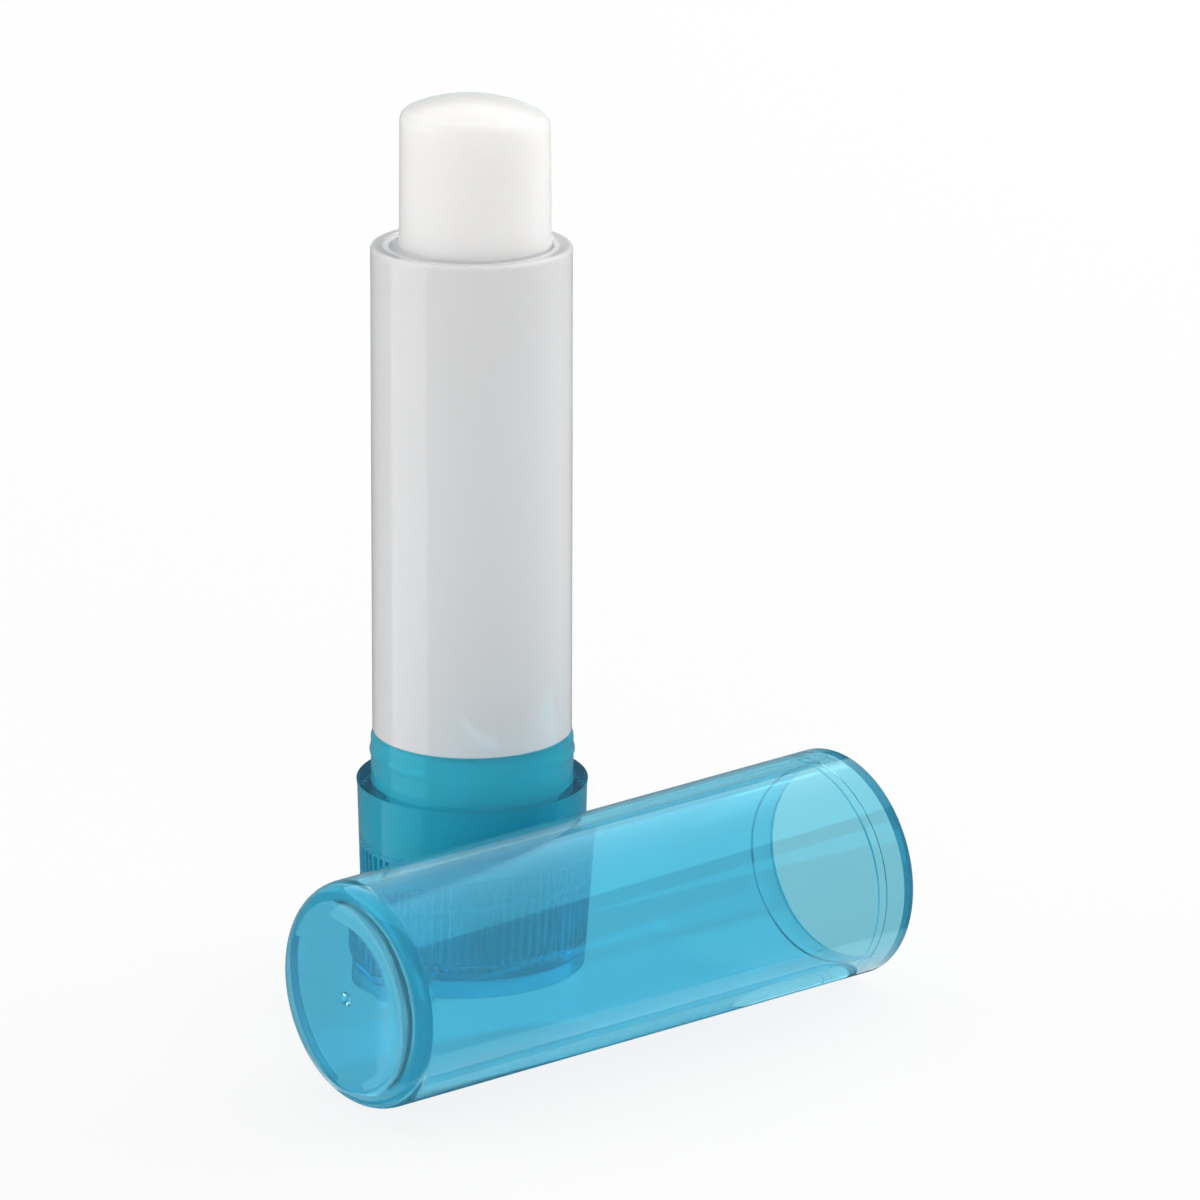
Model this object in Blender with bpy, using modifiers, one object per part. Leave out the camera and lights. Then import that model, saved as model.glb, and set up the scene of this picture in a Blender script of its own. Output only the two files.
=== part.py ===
"""Lip balm stick: a twist-up stick standing with its balm raised, and its cap lying against its base.

Metres, +Z up. The stick stands on its foot. The cap lies on the same floor with its axis along X
and its mouth towards +X. The origin is under the middle of the whole set, at floor height.
"""
import math

import bmesh
import bpy
from mathutils import Matrix, Vector

# Twist base: foot, ribs, band, ledge and collar in one clear moulding
BASE_RADIUS = 0.0095
BASE_LEDGE_HEIGHT = 0.0168
LEDGE_WIDTH = 0.00114
BASE_EDGE_STEP = 0.00007
BASE_EDGE_FADE = 0.0006
BASE_DRAFT = 0.0224
FOOT_CHAMFER = 0.0003
FOOT_RECESS_INSET = 0.00026
FOOT_RECESS_DEPTH = 0.0017
BASE_FLOOR_THICKNESS = 0.0010
COLLAR_STEP = 0.00014
COLLAR_HEIGHT = 0.0042
COLLAR_ROUND = 0.0003
SNAP_BEAD_HEIGHT = 0.0026
SNAP_BEAD_STEP = 0.00013
SNAP_BEAD_LENGTH = 0.0010
BOSS_WALL = 0.0009
BOSS_HEIGHT = 0.0060

# Grip ribs: grooves cut round the lower part of the base
RIB_COUNT = 72
RIB_BOTTOM = 0.0027
RIB_TOP = 0.0116
RIB_GROOVE_RADIUS = 0.00026

# Guide sleeve: the slotted inner tube that stands in the base
GUIDE_WALL = 0.00053
GUIDE_TOP_SETBACK = 0.00045
SLOT_WIDTH = 0.0017
SLOT_ANGLE = math.radians(50)
HOLD_BEAD_STEP = 0.00012
HOLD_BEAD_LENGTH = 0.0008
BASE_BEAD_HEIGHT = 0.0085

# Outer tube: the white barrel, with helical tracks inside its wall
TUBE_TOP_HEIGHT = 0.0619
TUBE_TOP_WALL = 0.00087
TUBE_TAPER_STEP = 0.00007
TUBE_EDGE_ROUND = 0.00035
TUBE_FOOT_ROUND = 0.00015
TUBE_BEAD_HEIGHT = 0.0015
TRACK_DEPTH = 0.00042
TRACK_WIDTH = 0.0017
TRACK_LEAD = 0.018
TRACK_STARTS = 2

# Carrier cup: holds the balm and rides in the slots and tracks on its lugs
CUP_CLEARANCE = 0.00015
CUP_WALL = 0.00065
CUP_HEIGHT = 0.0090
CUP_FLOOR = 0.0010
CUP_VENT_RADIUS = 0.0015
CUP_TOP_BELOW_RIM = 0.0040
LUG_RADIUS = 0.0006
LUG_DROP = 0.0009
LUG_LOWEST_OVER_TUBE_FOOT = 0.0042

# Balm: the cast stick, a little off the tube's axis as it stands in the photograph
BALM_SETBACK = 0.00023
BALM_TAPER_STEP = 0.00021
BALM_PLUG_CLEARANCE = 0.0004
BALM_RAISED = 0.0121
BALM_SUNK = 0.0010
BALM_CORNER_RADIUS = 0.0021
BALM_DOME_RADIUS = 0.0178
BALM_OFFSET = 0.0003
BALM_OFFSET_ANGLE = math.radians(-38.6)

# Cap: a long clear cup with a rounded closed end
CAP_LENGTH = 0.05087
CAP_MOUTH_WALL = 0.00113
CAP_SIDE_WALL = 0.00083
CAP_END_ROUND = 0.0025
CAP_END_WALL = 0.0013
CAP_INNER_ROUND = 0.0015
CAP_COLLAR_CLEARANCE = 0.00006
CAP_TUBE_CLEARANCE = 0.00012
CAP_MOUTH_ROUND = 0.0002
CAP_GROOVE_DEPTH = 0.00014
CAP_NUB_RADIUS = 0.0006
CAP_NUB_HEIGHT = 0.0004
CAP_END_BEHIND_STICK = 0.0272

# Clearances and overruns shared by several pieces
SEAT_GAP = 0.0003
SLIDE_GAP = 0.0001
CAP_TO_BASE_GAP = 0.0002
CUT_OVERRUN = 0.0008
MERGE_DISTANCE = 0.000005

# Counts of flat steps round each turned piece
SMOOTH_STEPS = 72
INNER_STEPS = 48
ARC_STEPS = 5
LUG_STEPS = 16

# Radii, worked out inwards from the base's radius, and from the collar and tube out to the cap
COLLAR_RADIUS = BASE_RADIUS - LEDGE_WIDTH
FOOT_RECESS_RADIUS = COLLAR_RADIUS - FOOT_RECESS_INSET
TUBE_FOOT_RADIUS = COLLAR_RADIUS - COLLAR_STEP
TUBE_TOP_RADIUS = TUBE_FOOT_RADIUS - TUBE_TAPER_STEP
SLEEVE_BORE = TUBE_TOP_RADIUS - TUBE_TOP_WALL
HOLD_GROOVE_RADIUS = SLEEVE_BORE + HOLD_BEAD_STEP + SLIDE_GAP
TRACK_RADIUS = SLEEVE_BORE + TRACK_DEPTH
LUG_REACH = TRACK_RADIUS - SLIDE_GAP
GUIDE_RADIUS = SLEEVE_BORE - SLIDE_GAP
GUIDE_BORE_RADIUS = GUIDE_RADIUS - GUIDE_WALL
CUP_RADIUS = GUIDE_BORE_RADIUS - CUP_CLEARANCE
CUP_BORE = CUP_RADIUS - CUP_WALL
BALM_FOOT_RADIUS = CUP_RADIUS - BALM_SETBACK
BALM_SHOULDER_RADIUS = BALM_FOOT_RADIUS - BALM_TAPER_STEP
BALM_PLUG_RADIUS = CUP_BORE - BALM_PLUG_CLEARANCE
CAP_MOUTH_BORE = COLLAR_RADIUS + CAP_COLLAR_CLEARANCE
CAP_MOUTH_RADIUS = CAP_MOUTH_BORE + CAP_MOUTH_WALL
CAP_END_BORE = TUBE_TOP_RADIUS + CAP_TUBE_CLEARANCE
CAP_END_RADIUS = CAP_END_BORE + CAP_SIDE_WALL
CAP_TILT = math.atan2(CAP_MOUTH_RADIUS - CAP_END_RADIUS, CAP_LENGTH)

# Heights and lengths, worked out from the driving dimensions
COLLAR_TOP = BASE_LEDGE_HEIGHT + COLLAR_HEIGHT
BASE_FLOOR_TOP = FOOT_RECESS_DEPTH + BASE_FLOOR_THICKNESS
HOLD_GROOVE_LENGTH = HOLD_BEAD_LENGTH + 2 * SEAT_GAP
GUIDE_TOP = TUBE_TOP_HEIGHT - GUIDE_TOP_SETBACK
TUBE_FOOT_HEIGHT = COLLAR_TOP + SEAT_GAP
TUBE_BEAD_LEVEL = TUBE_FOOT_HEIGHT + TUBE_BEAD_HEIGHT
TRAVEL_DOWN = BALM_RAISED + BALM_SUNK
LUG_LEVEL = TUBE_FOOT_HEIGHT + LUG_LOWEST_OVER_TUBE_FOOT + TRAVEL_DOWN
CUP_TOP = LUG_LEVEL + LUG_DROP
CUP_REST_HEIGHT = CUP_TOP - CUP_HEIGHT
TRAVEL_UP = TUBE_TOP_HEIGHT - CUP_TOP_BELOW_RIM - CUP_TOP
SLOT_BOTTOM = LUG_LEVEL - TRAVEL_DOWN - LUG_RADIUS - SEAT_GAP
SLOT_TOP = LUG_LEVEL + TRAVEL_UP + LUG_RADIUS + SEAT_GAP
BALM_FOOT = CUP_REST_HEIGHT + CUP_FLOOR + SEAT_GAP
BALM_TOP_HEIGHT = TUBE_TOP_HEIGHT + BALM_RAISED

MATERIALS = {
    "clear_blue_plastic": ((0.02, 0.42, 0.58, 0.45), 0.08, 0.85),
    "white_gloss_plastic": ((0.84, 0.85, 0.86, 1.0), 0.22, 0.0),
    "white_natural_plastic": ((0.78, 0.80, 0.82, 1.0), 0.35, 0.0),
    "balm_wax": ((0.90, 0.89, 0.86, 1.0), 0.38, 0.0),
}


def clear_scene():
    """Remove every object that the file holds at the start."""
    for obj in list(bpy.data.objects):
        bpy.data.objects.remove(obj, do_unlink=True)


def collection(name):
    """A new collection, linked to the scene."""
    group = bpy.data.collections.new(name)
    bpy.context.scene.collection.children.link(group)
    return group


def plastic(name):
    """A Principled material from the table above."""
    colour, roughness, transmission = MATERIALS[name]
    material = bpy.data.materials.new(name)
    material.use_nodes = True
    shader = material.node_tree.nodes["Principled BSDF"]
    shader.inputs["Base Color"].default_value = colour
    shader.inputs["Roughness"].default_value = roughness
    shader.inputs["Metallic"].default_value = 0.0
    shader.inputs["Transmission Weight"].default_value = transmission
    return material


def arc(centre, radius, start, end, steps=ARC_STEPS):
    """Points of a circular arc in the (radius, height) plane, from one angle to another in degrees."""
    points = []
    for step in range(steps + 1):
        angle = math.radians(start + (end - start) * step / steps)
        points.append((centre[0] + radius * math.cos(angle), centre[1] + radius * math.sin(angle)))
    return points


def turned(name, outline, steps, group, closed=True):
    """A solid of revolution about local Z. The outline runs down its outer side."""
    mesh = bpy.data.meshes.new(name)
    count = len(outline)
    edges = [(index, index + 1) for index in range(count - 1)]
    if closed:
        edges.append((count - 1, 0))
    mesh.from_pydata([(radius, 0, height) for radius, height in outline], edges, [])
    obj = bpy.data.objects.new(name, mesh)
    group.objects.link(obj)
    screw = obj.modifiers.new("turn", "SCREW")
    screw.axis = "Z"
    screw.angle = 2 * math.pi
    screw.steps = steps
    screw.render_steps = steps
    screw.use_merge_vertices = True
    screw.merge_threshold = MERGE_DISTANCE
    screw.use_smooth_shade = True
    return obj


def cutter_object(name, mesh, group):
    """An object that only cuts or joins others."""
    obj = bpy.data.objects.new(name, mesh)
    group.objects.link(obj)
    obj.hide_render = True
    obj.display_type = "WIRE"
    return obj


def combine(obj, tool, operation):
    """Add an exact Boolean that cuts or joins the tool."""
    boolean = obj.modifiers.new(tool.name, "BOOLEAN")
    boolean.operation = operation
    boolean.solver = "EXACT"
    boolean.object = tool


def base_side_radius(height):
    """Outer radius of the base's drafted side at a height above the floor."""
    return BASE_RADIUS - BASE_DRAFT * (BASE_LEDGE_HEIGHT - BASE_EDGE_FADE - height)


def hold_groove(level):
    """Points of the retaining groove in a bore, from below it to above it."""
    low = level - HOLD_GROOVE_LENGTH / 2
    high = level + HOLD_GROOVE_LENGTH / 2
    return [
        (SLEEVE_BORE, low),
        (HOLD_GROOVE_RADIUS, low + HOLD_BEAD_STEP),
        (HOLD_GROOVE_RADIUS, high - HOLD_BEAD_STEP),
        (SLEEVE_BORE, high),
    ]


def hold_bead(level):
    """Points of the guide sleeve's retaining bead, from above it to below it."""
    low = level - HOLD_BEAD_LENGTH / 2
    high = level + HOLD_BEAD_LENGTH / 2
    crest = GUIDE_RADIUS + HOLD_BEAD_STEP
    return [
        (GUIDE_RADIUS, high),
        (crest, high - HOLD_BEAD_STEP),
        (crest, low + HOLD_BEAD_STEP),
        (GUIDE_RADIUS, low),
    ]


def snap_bead():
    """Points of the collar's snap bead, from above it to below it."""
    level = BASE_LEDGE_HEIGHT + SNAP_BEAD_HEIGHT
    crest = COLLAR_RADIUS + SNAP_BEAD_STEP
    return [
        (COLLAR_RADIUS, level + SNAP_BEAD_LENGTH / 2),
        (crest, level + SNAP_BEAD_LENGTH / 4),
        (crest, level - SNAP_BEAD_LENGTH / 4),
        (COLLAR_RADIUS, level - SNAP_BEAD_LENGTH / 2),
    ]


def rib_grooves(group):
    """One cutter holding the vertical grooves between the ribs, leaning with the base's draft."""
    shape = bmesh.new()
    middle = (RIB_BOTTOM + RIB_TOP) / 2
    lean = Matrix.Rotation(math.atan(BASE_DRAFT), 4, "Y")
    for index in range(RIB_COUNT):
        turn = Matrix.Rotation(2 * math.pi * index / RIB_COUNT, 4, "Z")
        place = Matrix.Translation((base_side_radius(middle), 0, middle))
        bmesh.ops.create_cone(
            shape,
            cap_ends=True,
            segments=6,
            radius1=RIB_GROOVE_RADIUS,
            radius2=RIB_GROOVE_RADIUS,
            depth=RIB_TOP - RIB_BOTTOM,
            matrix=turn @ place @ lean,
        )
    mesh = bpy.data.meshes.new("rib_grooves")
    shape.to_mesh(mesh)
    shape.free()
    return cutter_object("rib_grooves", mesh, group)


def twist_base(group, tools):
    """The clear base: recessed foot, ribbed grip, band, cap ledge and collar, bored for the sleeve."""
    boss_radius = GUIDE_BORE_RADIUS - SLIDE_GAP
    outline = [(SLEEVE_BORE, COLLAR_TOP), (COLLAR_RADIUS - COLLAR_ROUND, COLLAR_TOP)]
    outline += [(COLLAR_RADIUS, COLLAR_TOP - COLLAR_ROUND)]
    outline += snap_bead()
    outline += [
        (COLLAR_RADIUS, BASE_LEDGE_HEIGHT),
        (BASE_RADIUS + BASE_EDGE_STEP, BASE_LEDGE_HEIGHT),
        (BASE_RADIUS, BASE_LEDGE_HEIGHT - BASE_EDGE_FADE),
        (base_side_radius(RIB_TOP), RIB_TOP),
        (base_side_radius(FOOT_CHAMFER), FOOT_CHAMFER),
        (base_side_radius(0) - FOOT_CHAMFER, 0),
        (FOOT_RECESS_RADIUS, 0),
        (FOOT_RECESS_RADIUS, FOOT_RECESS_DEPTH),
        (0, FOOT_RECESS_DEPTH),
    ]
    inside = [
        (0, BASE_FLOOR_TOP),
        (boss_radius - BOSS_WALL, BASE_FLOOR_TOP),
        (boss_radius - BOSS_WALL, BASE_FLOOR_TOP + BOSS_HEIGHT),
        (boss_radius, BASE_FLOOR_TOP + BOSS_HEIGHT),
        (boss_radius, BASE_FLOOR_TOP),
        (SLEEVE_BORE, BASE_FLOOR_TOP),
    ]
    outline = outline + inside + hold_groove(BASE_BEAD_HEIGHT)
    # The profile starts at the collar's bore, so it is turned to start and end on the axis
    axis_start = outline.index((0, BASE_FLOOR_TOP))
    outline = outline[axis_start:] + outline[:axis_start]
    obj = turned("twist_base", outline, RIB_COUNT, group, closed=False)
    combine(obj, rib_grooves(tools), "DIFFERENCE")
    return obj


def guide_slot(group):
    """A bar across the sleeve that cuts both straight slots."""
    shape = bmesh.new()
    bmesh.ops.create_cube(shape, size=1)
    size = Vector((2 * (GUIDE_RADIUS + CUT_OVERRUN), SLOT_WIDTH, SLOT_TOP - SLOT_BOTTOM))
    middle = (SLOT_TOP + SLOT_BOTTOM) / 2
    turn = Matrix.Rotation(SLOT_ANGLE, 4, "Z")
    place = turn @ Matrix.Translation((0, 0, middle)) @ Matrix.Diagonal(size.to_4d())
    bmesh.ops.transform(shape, matrix=place, verts=shape.verts)
    mesh = bpy.data.meshes.new("guide_slot")
    shape.to_mesh(mesh)
    shape.free()
    return cutter_object("guide_slot", mesh, group)


def guide_sleeve(group, tools):
    """The inner tube: pressed on the base's boss, held by a bead, with two slots for the lugs."""
    outline = [(GUIDE_BORE_RADIUS, GUIDE_TOP), (GUIDE_RADIUS, GUIDE_TOP)]
    outline += hold_bead(TUBE_BEAD_LEVEL)
    outline += hold_bead(BASE_BEAD_HEIGHT)
    outline += [
        (GUIDE_RADIUS, BASE_FLOOR_TOP + SEAT_GAP),
        (GUIDE_BORE_RADIUS, BASE_FLOOR_TOP + SEAT_GAP),
    ]
    obj = turned("guide_sleeve", outline, INNER_STEPS, group)
    combine(obj, guide_slot(tools), "DIFFERENCE")
    return obj


def helical_track(index, group):
    """A right-handed ribbon that cuts one helical track into the tube's bore."""
    low = SLOT_BOTTOM + LUG_RADIUS
    high = SLOT_TOP - LUG_RADIUS
    turns = (high - low) / TRACK_LEAD
    name = "helical_track_" + str(index)
    half_width = TRACK_WIDTH / 2
    inner = SLEEVE_BORE - CUT_OVERRUN / 2
    mesh = bpy.data.meshes.new(name)
    mesh.from_pydata([(inner, 0, low + half_width), (inner, 0, low - half_width)], [(0, 1)], [])
    obj = cutter_object(name, mesh, group)
    behind_lug = 2 * math.pi * (LUG_LEVEL - low) / TRACK_LEAD
    obj.rotation_euler.z = SLOT_ANGLE - behind_lug + 2 * math.pi * index / TRACK_STARTS
    screw = obj.modifiers.new("wind", "SCREW")
    screw.axis = "Z"
    screw.angle = 2 * math.pi * turns
    screw.screw_offset = high - low
    screw.steps = math.ceil(INNER_STEPS * turns)
    screw.render_steps = screw.steps
    screw.use_merge_vertices = False
    screw.merge_threshold = MERGE_DISTANCE
    thicken = obj.modifiers.new("depth", "SOLIDIFY")
    thicken.thickness = TRACK_RADIUS - inner
    thicken.offset = 1
    return obj


def outer_tube(group, tools):
    """The white barrel: slightly tapered, soft at its top edge, held on the sleeve by its groove."""
    edge = (TUBE_TOP_RADIUS - TUBE_EDGE_ROUND, TUBE_TOP_HEIGHT - TUBE_EDGE_ROUND)
    outline = [(SLEEVE_BORE, TUBE_TOP_HEIGHT)]
    outline += arc(edge, TUBE_EDGE_ROUND, 90, 0)
    outline += [
        (TUBE_FOOT_RADIUS, TUBE_FOOT_HEIGHT + TUBE_FOOT_ROUND),
        (TUBE_FOOT_RADIUS - TUBE_FOOT_ROUND, TUBE_FOOT_HEIGHT),
        (SLEEVE_BORE, TUBE_FOOT_HEIGHT),
    ]
    outline += hold_groove(TUBE_BEAD_LEVEL)
    obj = turned("outer_tube", outline, SMOOTH_STEPS, group)
    for index in range(TRACK_STARTS):
        combine(obj, helical_track(index, tools), "DIFFERENCE")
    return obj


def lug(index, group):
    """A round lug that reaches through the slot into its track."""
    shape = bmesh.new()
    root = CUP_RADIUS - CUP_WALL / 2
    middle = (root + LUG_REACH) / 2
    turn = Matrix.Rotation(SLOT_ANGLE + 2 * math.pi * index / TRACK_STARTS, 4, "Z")
    place = Matrix.Translation((middle, 0, LUG_LEVEL)) @ Matrix.Rotation(math.pi / 2, 4, "Y")
    bmesh.ops.create_cone(
        shape,
        cap_ends=True,
        segments=LUG_STEPS,
        radius1=LUG_RADIUS,
        radius2=LUG_RADIUS,
        depth=LUG_REACH - root,
        matrix=turn @ place,
    )
    name = "lug_" + str(index)
    mesh = bpy.data.meshes.new(name)
    shape.to_mesh(mesh)
    shape.free()
    return cutter_object(name, mesh, group)


def carrier_cup(group, tools):
    """The cup that lifts the balm, with one lug for each track."""
    floor_top = CUP_REST_HEIGHT + CUP_FLOOR
    outline = [
        (CUP_BORE, CUP_TOP),
        (CUP_RADIUS, CUP_TOP),
        (CUP_RADIUS, CUP_REST_HEIGHT),
        (CUP_VENT_RADIUS, CUP_REST_HEIGHT),
        (CUP_VENT_RADIUS, floor_top),
        (CUP_BORE, floor_top),
    ]
    obj = turned("carrier_cup", outline, INNER_STEPS, group)
    for index in range(TRACK_STARTS):
        combine(obj, lug(index, tools), "UNION")
    return obj


def balm(group):
    """The cast balm: a plug in the cup, a drafted column and a domed top with a soft corner."""
    arc_centre = BALM_SHOULDER_RADIUS - BALM_CORNER_RADIUS
    dome_centre = BALM_TOP_HEIGHT - BALM_DOME_RADIUS
    rise = math.sqrt((BALM_DOME_RADIUS - BALM_CORNER_RADIUS) ** 2 - arc_centre ** 2)
    meet = math.degrees(math.atan2(rise, arc_centre))
    outline = arc((0, dome_centre), BALM_DOME_RADIUS, 90, meet)
    outline += arc((arc_centre, dome_centre + rise), BALM_CORNER_RADIUS, meet, 0)[1:]
    outline += [
        (BALM_FOOT_RADIUS, CUP_TOP + SEAT_GAP),
        (BALM_PLUG_RADIUS, CUP_TOP + SEAT_GAP),
        (BALM_PLUG_RADIUS, BALM_FOOT),
        (0, BALM_FOOT),
    ]
    outline[0] = (0, BALM_TOP_HEIGHT)
    obj = turned("balm", outline, INNER_STEPS, group, closed=False)
    obj.location.x = BALM_OFFSET * math.cos(BALM_OFFSET_ANGLE)
    obj.location.y = BALM_OFFSET * math.sin(BALM_OFFSET_ANGLE)
    return obj


def cap(group):
    """The clear cap about its own axis: mouth at height 0, closed end at the top."""
    groove_middle = SNAP_BEAD_HEIGHT
    groove_radius = CAP_MOUTH_BORE + CAP_GROOVE_DEPTH
    inside_top = CAP_LENGTH - CAP_END_WALL
    corner = (CAP_END_RADIUS - CAP_END_ROUND, CAP_LENGTH - CAP_END_ROUND)
    inner_corner = (CAP_END_BORE - CAP_INNER_ROUND, inside_top - CAP_INNER_ROUND)
    outline = [(0, CAP_LENGTH)]
    outline += arc(corner, CAP_END_ROUND, 90, 0)
    outline += [
        (CAP_MOUTH_RADIUS, CAP_MOUTH_ROUND),
        (CAP_MOUTH_RADIUS - CAP_MOUTH_ROUND, 0),
        (CAP_MOUTH_BORE + CAP_MOUTH_ROUND, 0),
        (CAP_MOUTH_BORE, CAP_MOUTH_ROUND),
        (CAP_MOUTH_BORE, groove_middle - SNAP_BEAD_LENGTH / 2),
        (groove_radius, groove_middle - SNAP_BEAD_LENGTH / 4),
        (groove_radius, groove_middle + SNAP_BEAD_LENGTH / 4),
        (CAP_MOUTH_BORE, groove_middle + SNAP_BEAD_LENGTH / 2),
    ]
    outline += arc(inner_corner, CAP_INNER_ROUND, 0, 90)
    outline += [
        (CAP_NUB_RADIUS, inside_top),
        (CAP_NUB_RADIUS / 2, inside_top - CAP_NUB_HEIGHT),
        (0, inside_top - CAP_NUB_HEIGHT),
    ]
    return turned("cap", outline, SMOOTH_STEPS, group, closed=False)


def empty(name, group, location):
    """An empty that stands for an axis."""
    obj = bpy.data.objects.new(name, None)
    obj.empty_display_size = BASE_RADIUS
    obj.location = location
    group.objects.link(obj)
    return obj


def layout():
    """Where the stick's axis and the cap's mouth stand, with the set centred over the origin."""
    end_to_mouth = CAP_LENGTH * math.cos(CAP_TILT)
    mouth_x = end_to_mouth - CAP_END_BEHIND_STICK
    cap_low_x = -CAP_END_BEHIND_STICK - (CAP_END_RADIUS - CAP_END_ROUND) * math.sin(CAP_TILT)
    cap_high_x = mouth_x + CAP_MOUTH_RADIUS * math.sin(CAP_TILT)
    beside = CAP_END_RADIUS + math.tan(CAP_TILT) * CAP_END_BEHIND_STICK
    cap_y = -(base_side_radius(beside) + CAP_TO_BASE_GAP + beside)
    middle_x = (cap_low_x + cap_high_x) / 2
    middle_y = (cap_y - CAP_MOUTH_RADIUS + BASE_RADIUS + BASE_EDGE_STEP) / 2
    stick = Vector((-middle_x, -middle_y, 0))
    mouth_z = CAP_MOUTH_RADIUS * math.cos(CAP_TILT)
    mouth = Vector((mouth_x - middle_x, cap_y - middle_y, mouth_z))
    return stick, mouth


def main():
    clear_scene()
    parts = collection("lip_balm_stick")
    tools = collection("cutters")
    clear_blue = plastic("clear_blue_plastic")
    white_gloss = plastic("white_gloss_plastic")
    white_natural = plastic("white_natural_plastic")
    wax = plastic("balm_wax")
    stick_place, mouth_place = layout()
    stick_axis = empty("stick_axis", parts, stick_place)
    cap_axis = empty("cap_axis", parts, mouth_place)
    cap_axis.rotation_euler.y = -math.pi / 2 - CAP_TILT

    pieces = [
        (twist_base(parts, tools), clear_blue, stick_axis),
        (guide_sleeve(parts, tools), white_natural, stick_axis),
        (outer_tube(parts, tools), white_gloss, stick_axis),
        (carrier_cup(parts, tools), white_natural, stick_axis),
        (balm(parts), wax, stick_axis),
        (cap(parts), clear_blue, cap_axis),
    ]
    for obj, material, axis in pieces:
        obj.data.materials.append(material)
        obj.parent = axis
    for tool in tools.objects:
        tool.parent = stick_axis


main()
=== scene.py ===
# Looks of the lip balm stick: its finely turned pieces, their plastics and wax, and a white studio.
# Metres, +Z up, in the frame's own place. Sizes are written in millimetres times MM.
import math

import bpy
from mathutils import Matrix, Vector


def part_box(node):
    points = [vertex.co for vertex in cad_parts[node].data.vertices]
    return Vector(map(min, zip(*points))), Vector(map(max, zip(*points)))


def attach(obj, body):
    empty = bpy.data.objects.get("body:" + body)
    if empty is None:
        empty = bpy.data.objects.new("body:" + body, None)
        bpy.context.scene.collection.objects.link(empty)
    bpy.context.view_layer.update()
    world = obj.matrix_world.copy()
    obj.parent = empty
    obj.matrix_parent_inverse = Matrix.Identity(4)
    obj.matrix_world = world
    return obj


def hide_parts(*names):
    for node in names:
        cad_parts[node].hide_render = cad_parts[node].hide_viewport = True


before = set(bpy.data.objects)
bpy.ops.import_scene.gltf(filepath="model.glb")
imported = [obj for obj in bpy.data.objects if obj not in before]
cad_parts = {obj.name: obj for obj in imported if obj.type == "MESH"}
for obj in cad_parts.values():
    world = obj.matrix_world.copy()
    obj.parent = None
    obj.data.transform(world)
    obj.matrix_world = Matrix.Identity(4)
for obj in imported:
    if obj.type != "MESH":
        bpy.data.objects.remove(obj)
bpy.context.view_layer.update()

MM = 0.001

# Camera, fitted to the photograph: where it stands seen from the stick's foot, and where it looks
CAMERA_DISTANCE = 440.0 * MM
CAMERA_HEIGHT = 166.446 * MM
STICK_BEARING = math.radians(37.24)
CAMERA_YAW = 0.0238
CAMERA_PITCH = 0.2965
CAMERA_ROLL = 0.0057
SENSOR_WIDTH = 36.0
CAMERA_LENS = 168.646
CAMERA_NEAREST = 10.0 * MM

# Twist base
BASE_RADIUS = 9.5 * MM
BASE_DRAFT = 0.0224
LEDGE_HEIGHT = 16.8 * MM
LEDGE_STEP = 0.07 * MM
LEDGE_FADE = 0.6 * MM
COLLAR_RADIUS = 8.36 * MM
COLLAR_TOP = 21.0 * MM
COLLAR_LEAD_WIDTH = 0.14 * MM
COLLAR_LEAD_HEIGHT = 0.55 * MM
BEAD_HEIGHT = 19.3 * MM
BEAD_LENGTH = 0.9 * MM
BEAD_STEP = 0.13 * MM
FOOT_RADIUS = 8.1 * MM
FOOT_DEPTH = 1.7 * MM
FOOT_CORNER = 0.3 * MM
FLOOR_TOP = 2.7 * MM
BOSS_RADIUS = 6.55 * MM
BOSS_BORE = 5.65 * MM
BOSS_TOP = 8.7 * MM
BASE_BORE = 7.0 * MM
SLEEVE_BORE = 7.28 * MM
GROOVE_RADIUS = 7.5 * MM
GROOVE_LENGTH = 1.4 * MM
BASE_GROOVE_HEIGHT = 8.5 * MM

# Guide sleeve
SLEEVE_RADIUS = 7.18 * MM
SLEEVE_INSIDE = 6.65 * MM
SLEEVE_FOOT = 3.0 * MM
SLEEVE_TOP = 61.84 * MM
SLEEVE_TOP_ROUND = 0.12 * MM
SLEEVE_BEAD_STEP = 0.12 * MM
SLEEVE_BEAD_LENGTH = 0.8 * MM
SLOT_WIDTH = 1.7 * MM
SLOT_LOW = 24.6 * MM
SLOT_HIGH = 57.9 * MM

# Grip ribs
RIB_COUNT = 72
RIB_BOTTOM = 2.7 * MM
RIB_TOP = 11.6 * MM
RIB_DEPTH = 0.26 * MM
RIB_HALF_WIDTH = 0.27 * MM
RIB_RUNOUT = 0.2 * MM
RIB_STEPS = 12

# Outer tube
TUBE_TOP = 61.9 * MM
TUBE_FOOT = 21.03 * MM
TUBE_TOP_RADIUS = 8.15 * MM
TUBE_FOOT_RADIUS = 8.22 * MM
TUBE_LIP_ROUND = 0.35 * MM
TUBE_MOUTH_BORE = 7.19 * MM
TUBE_MOUTH_DEPTH = 1.0 * MM
TUBE_GROOVE_HEIGHT = 22.8 * MM
TRACK_DEPTH = 0.42 * MM
TRACK_HALF_WIDTH = 0.85 * MM
TRACK_LEAD = 18.0 * MM
TRACK_COUNT = 2
TRACK_LOW = 23.8 * MM
TRACK_HIGH = 58.7 * MM
SLOT_ANGLE = math.radians(50)
LUG_LEVEL = 38.6 * MM

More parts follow.
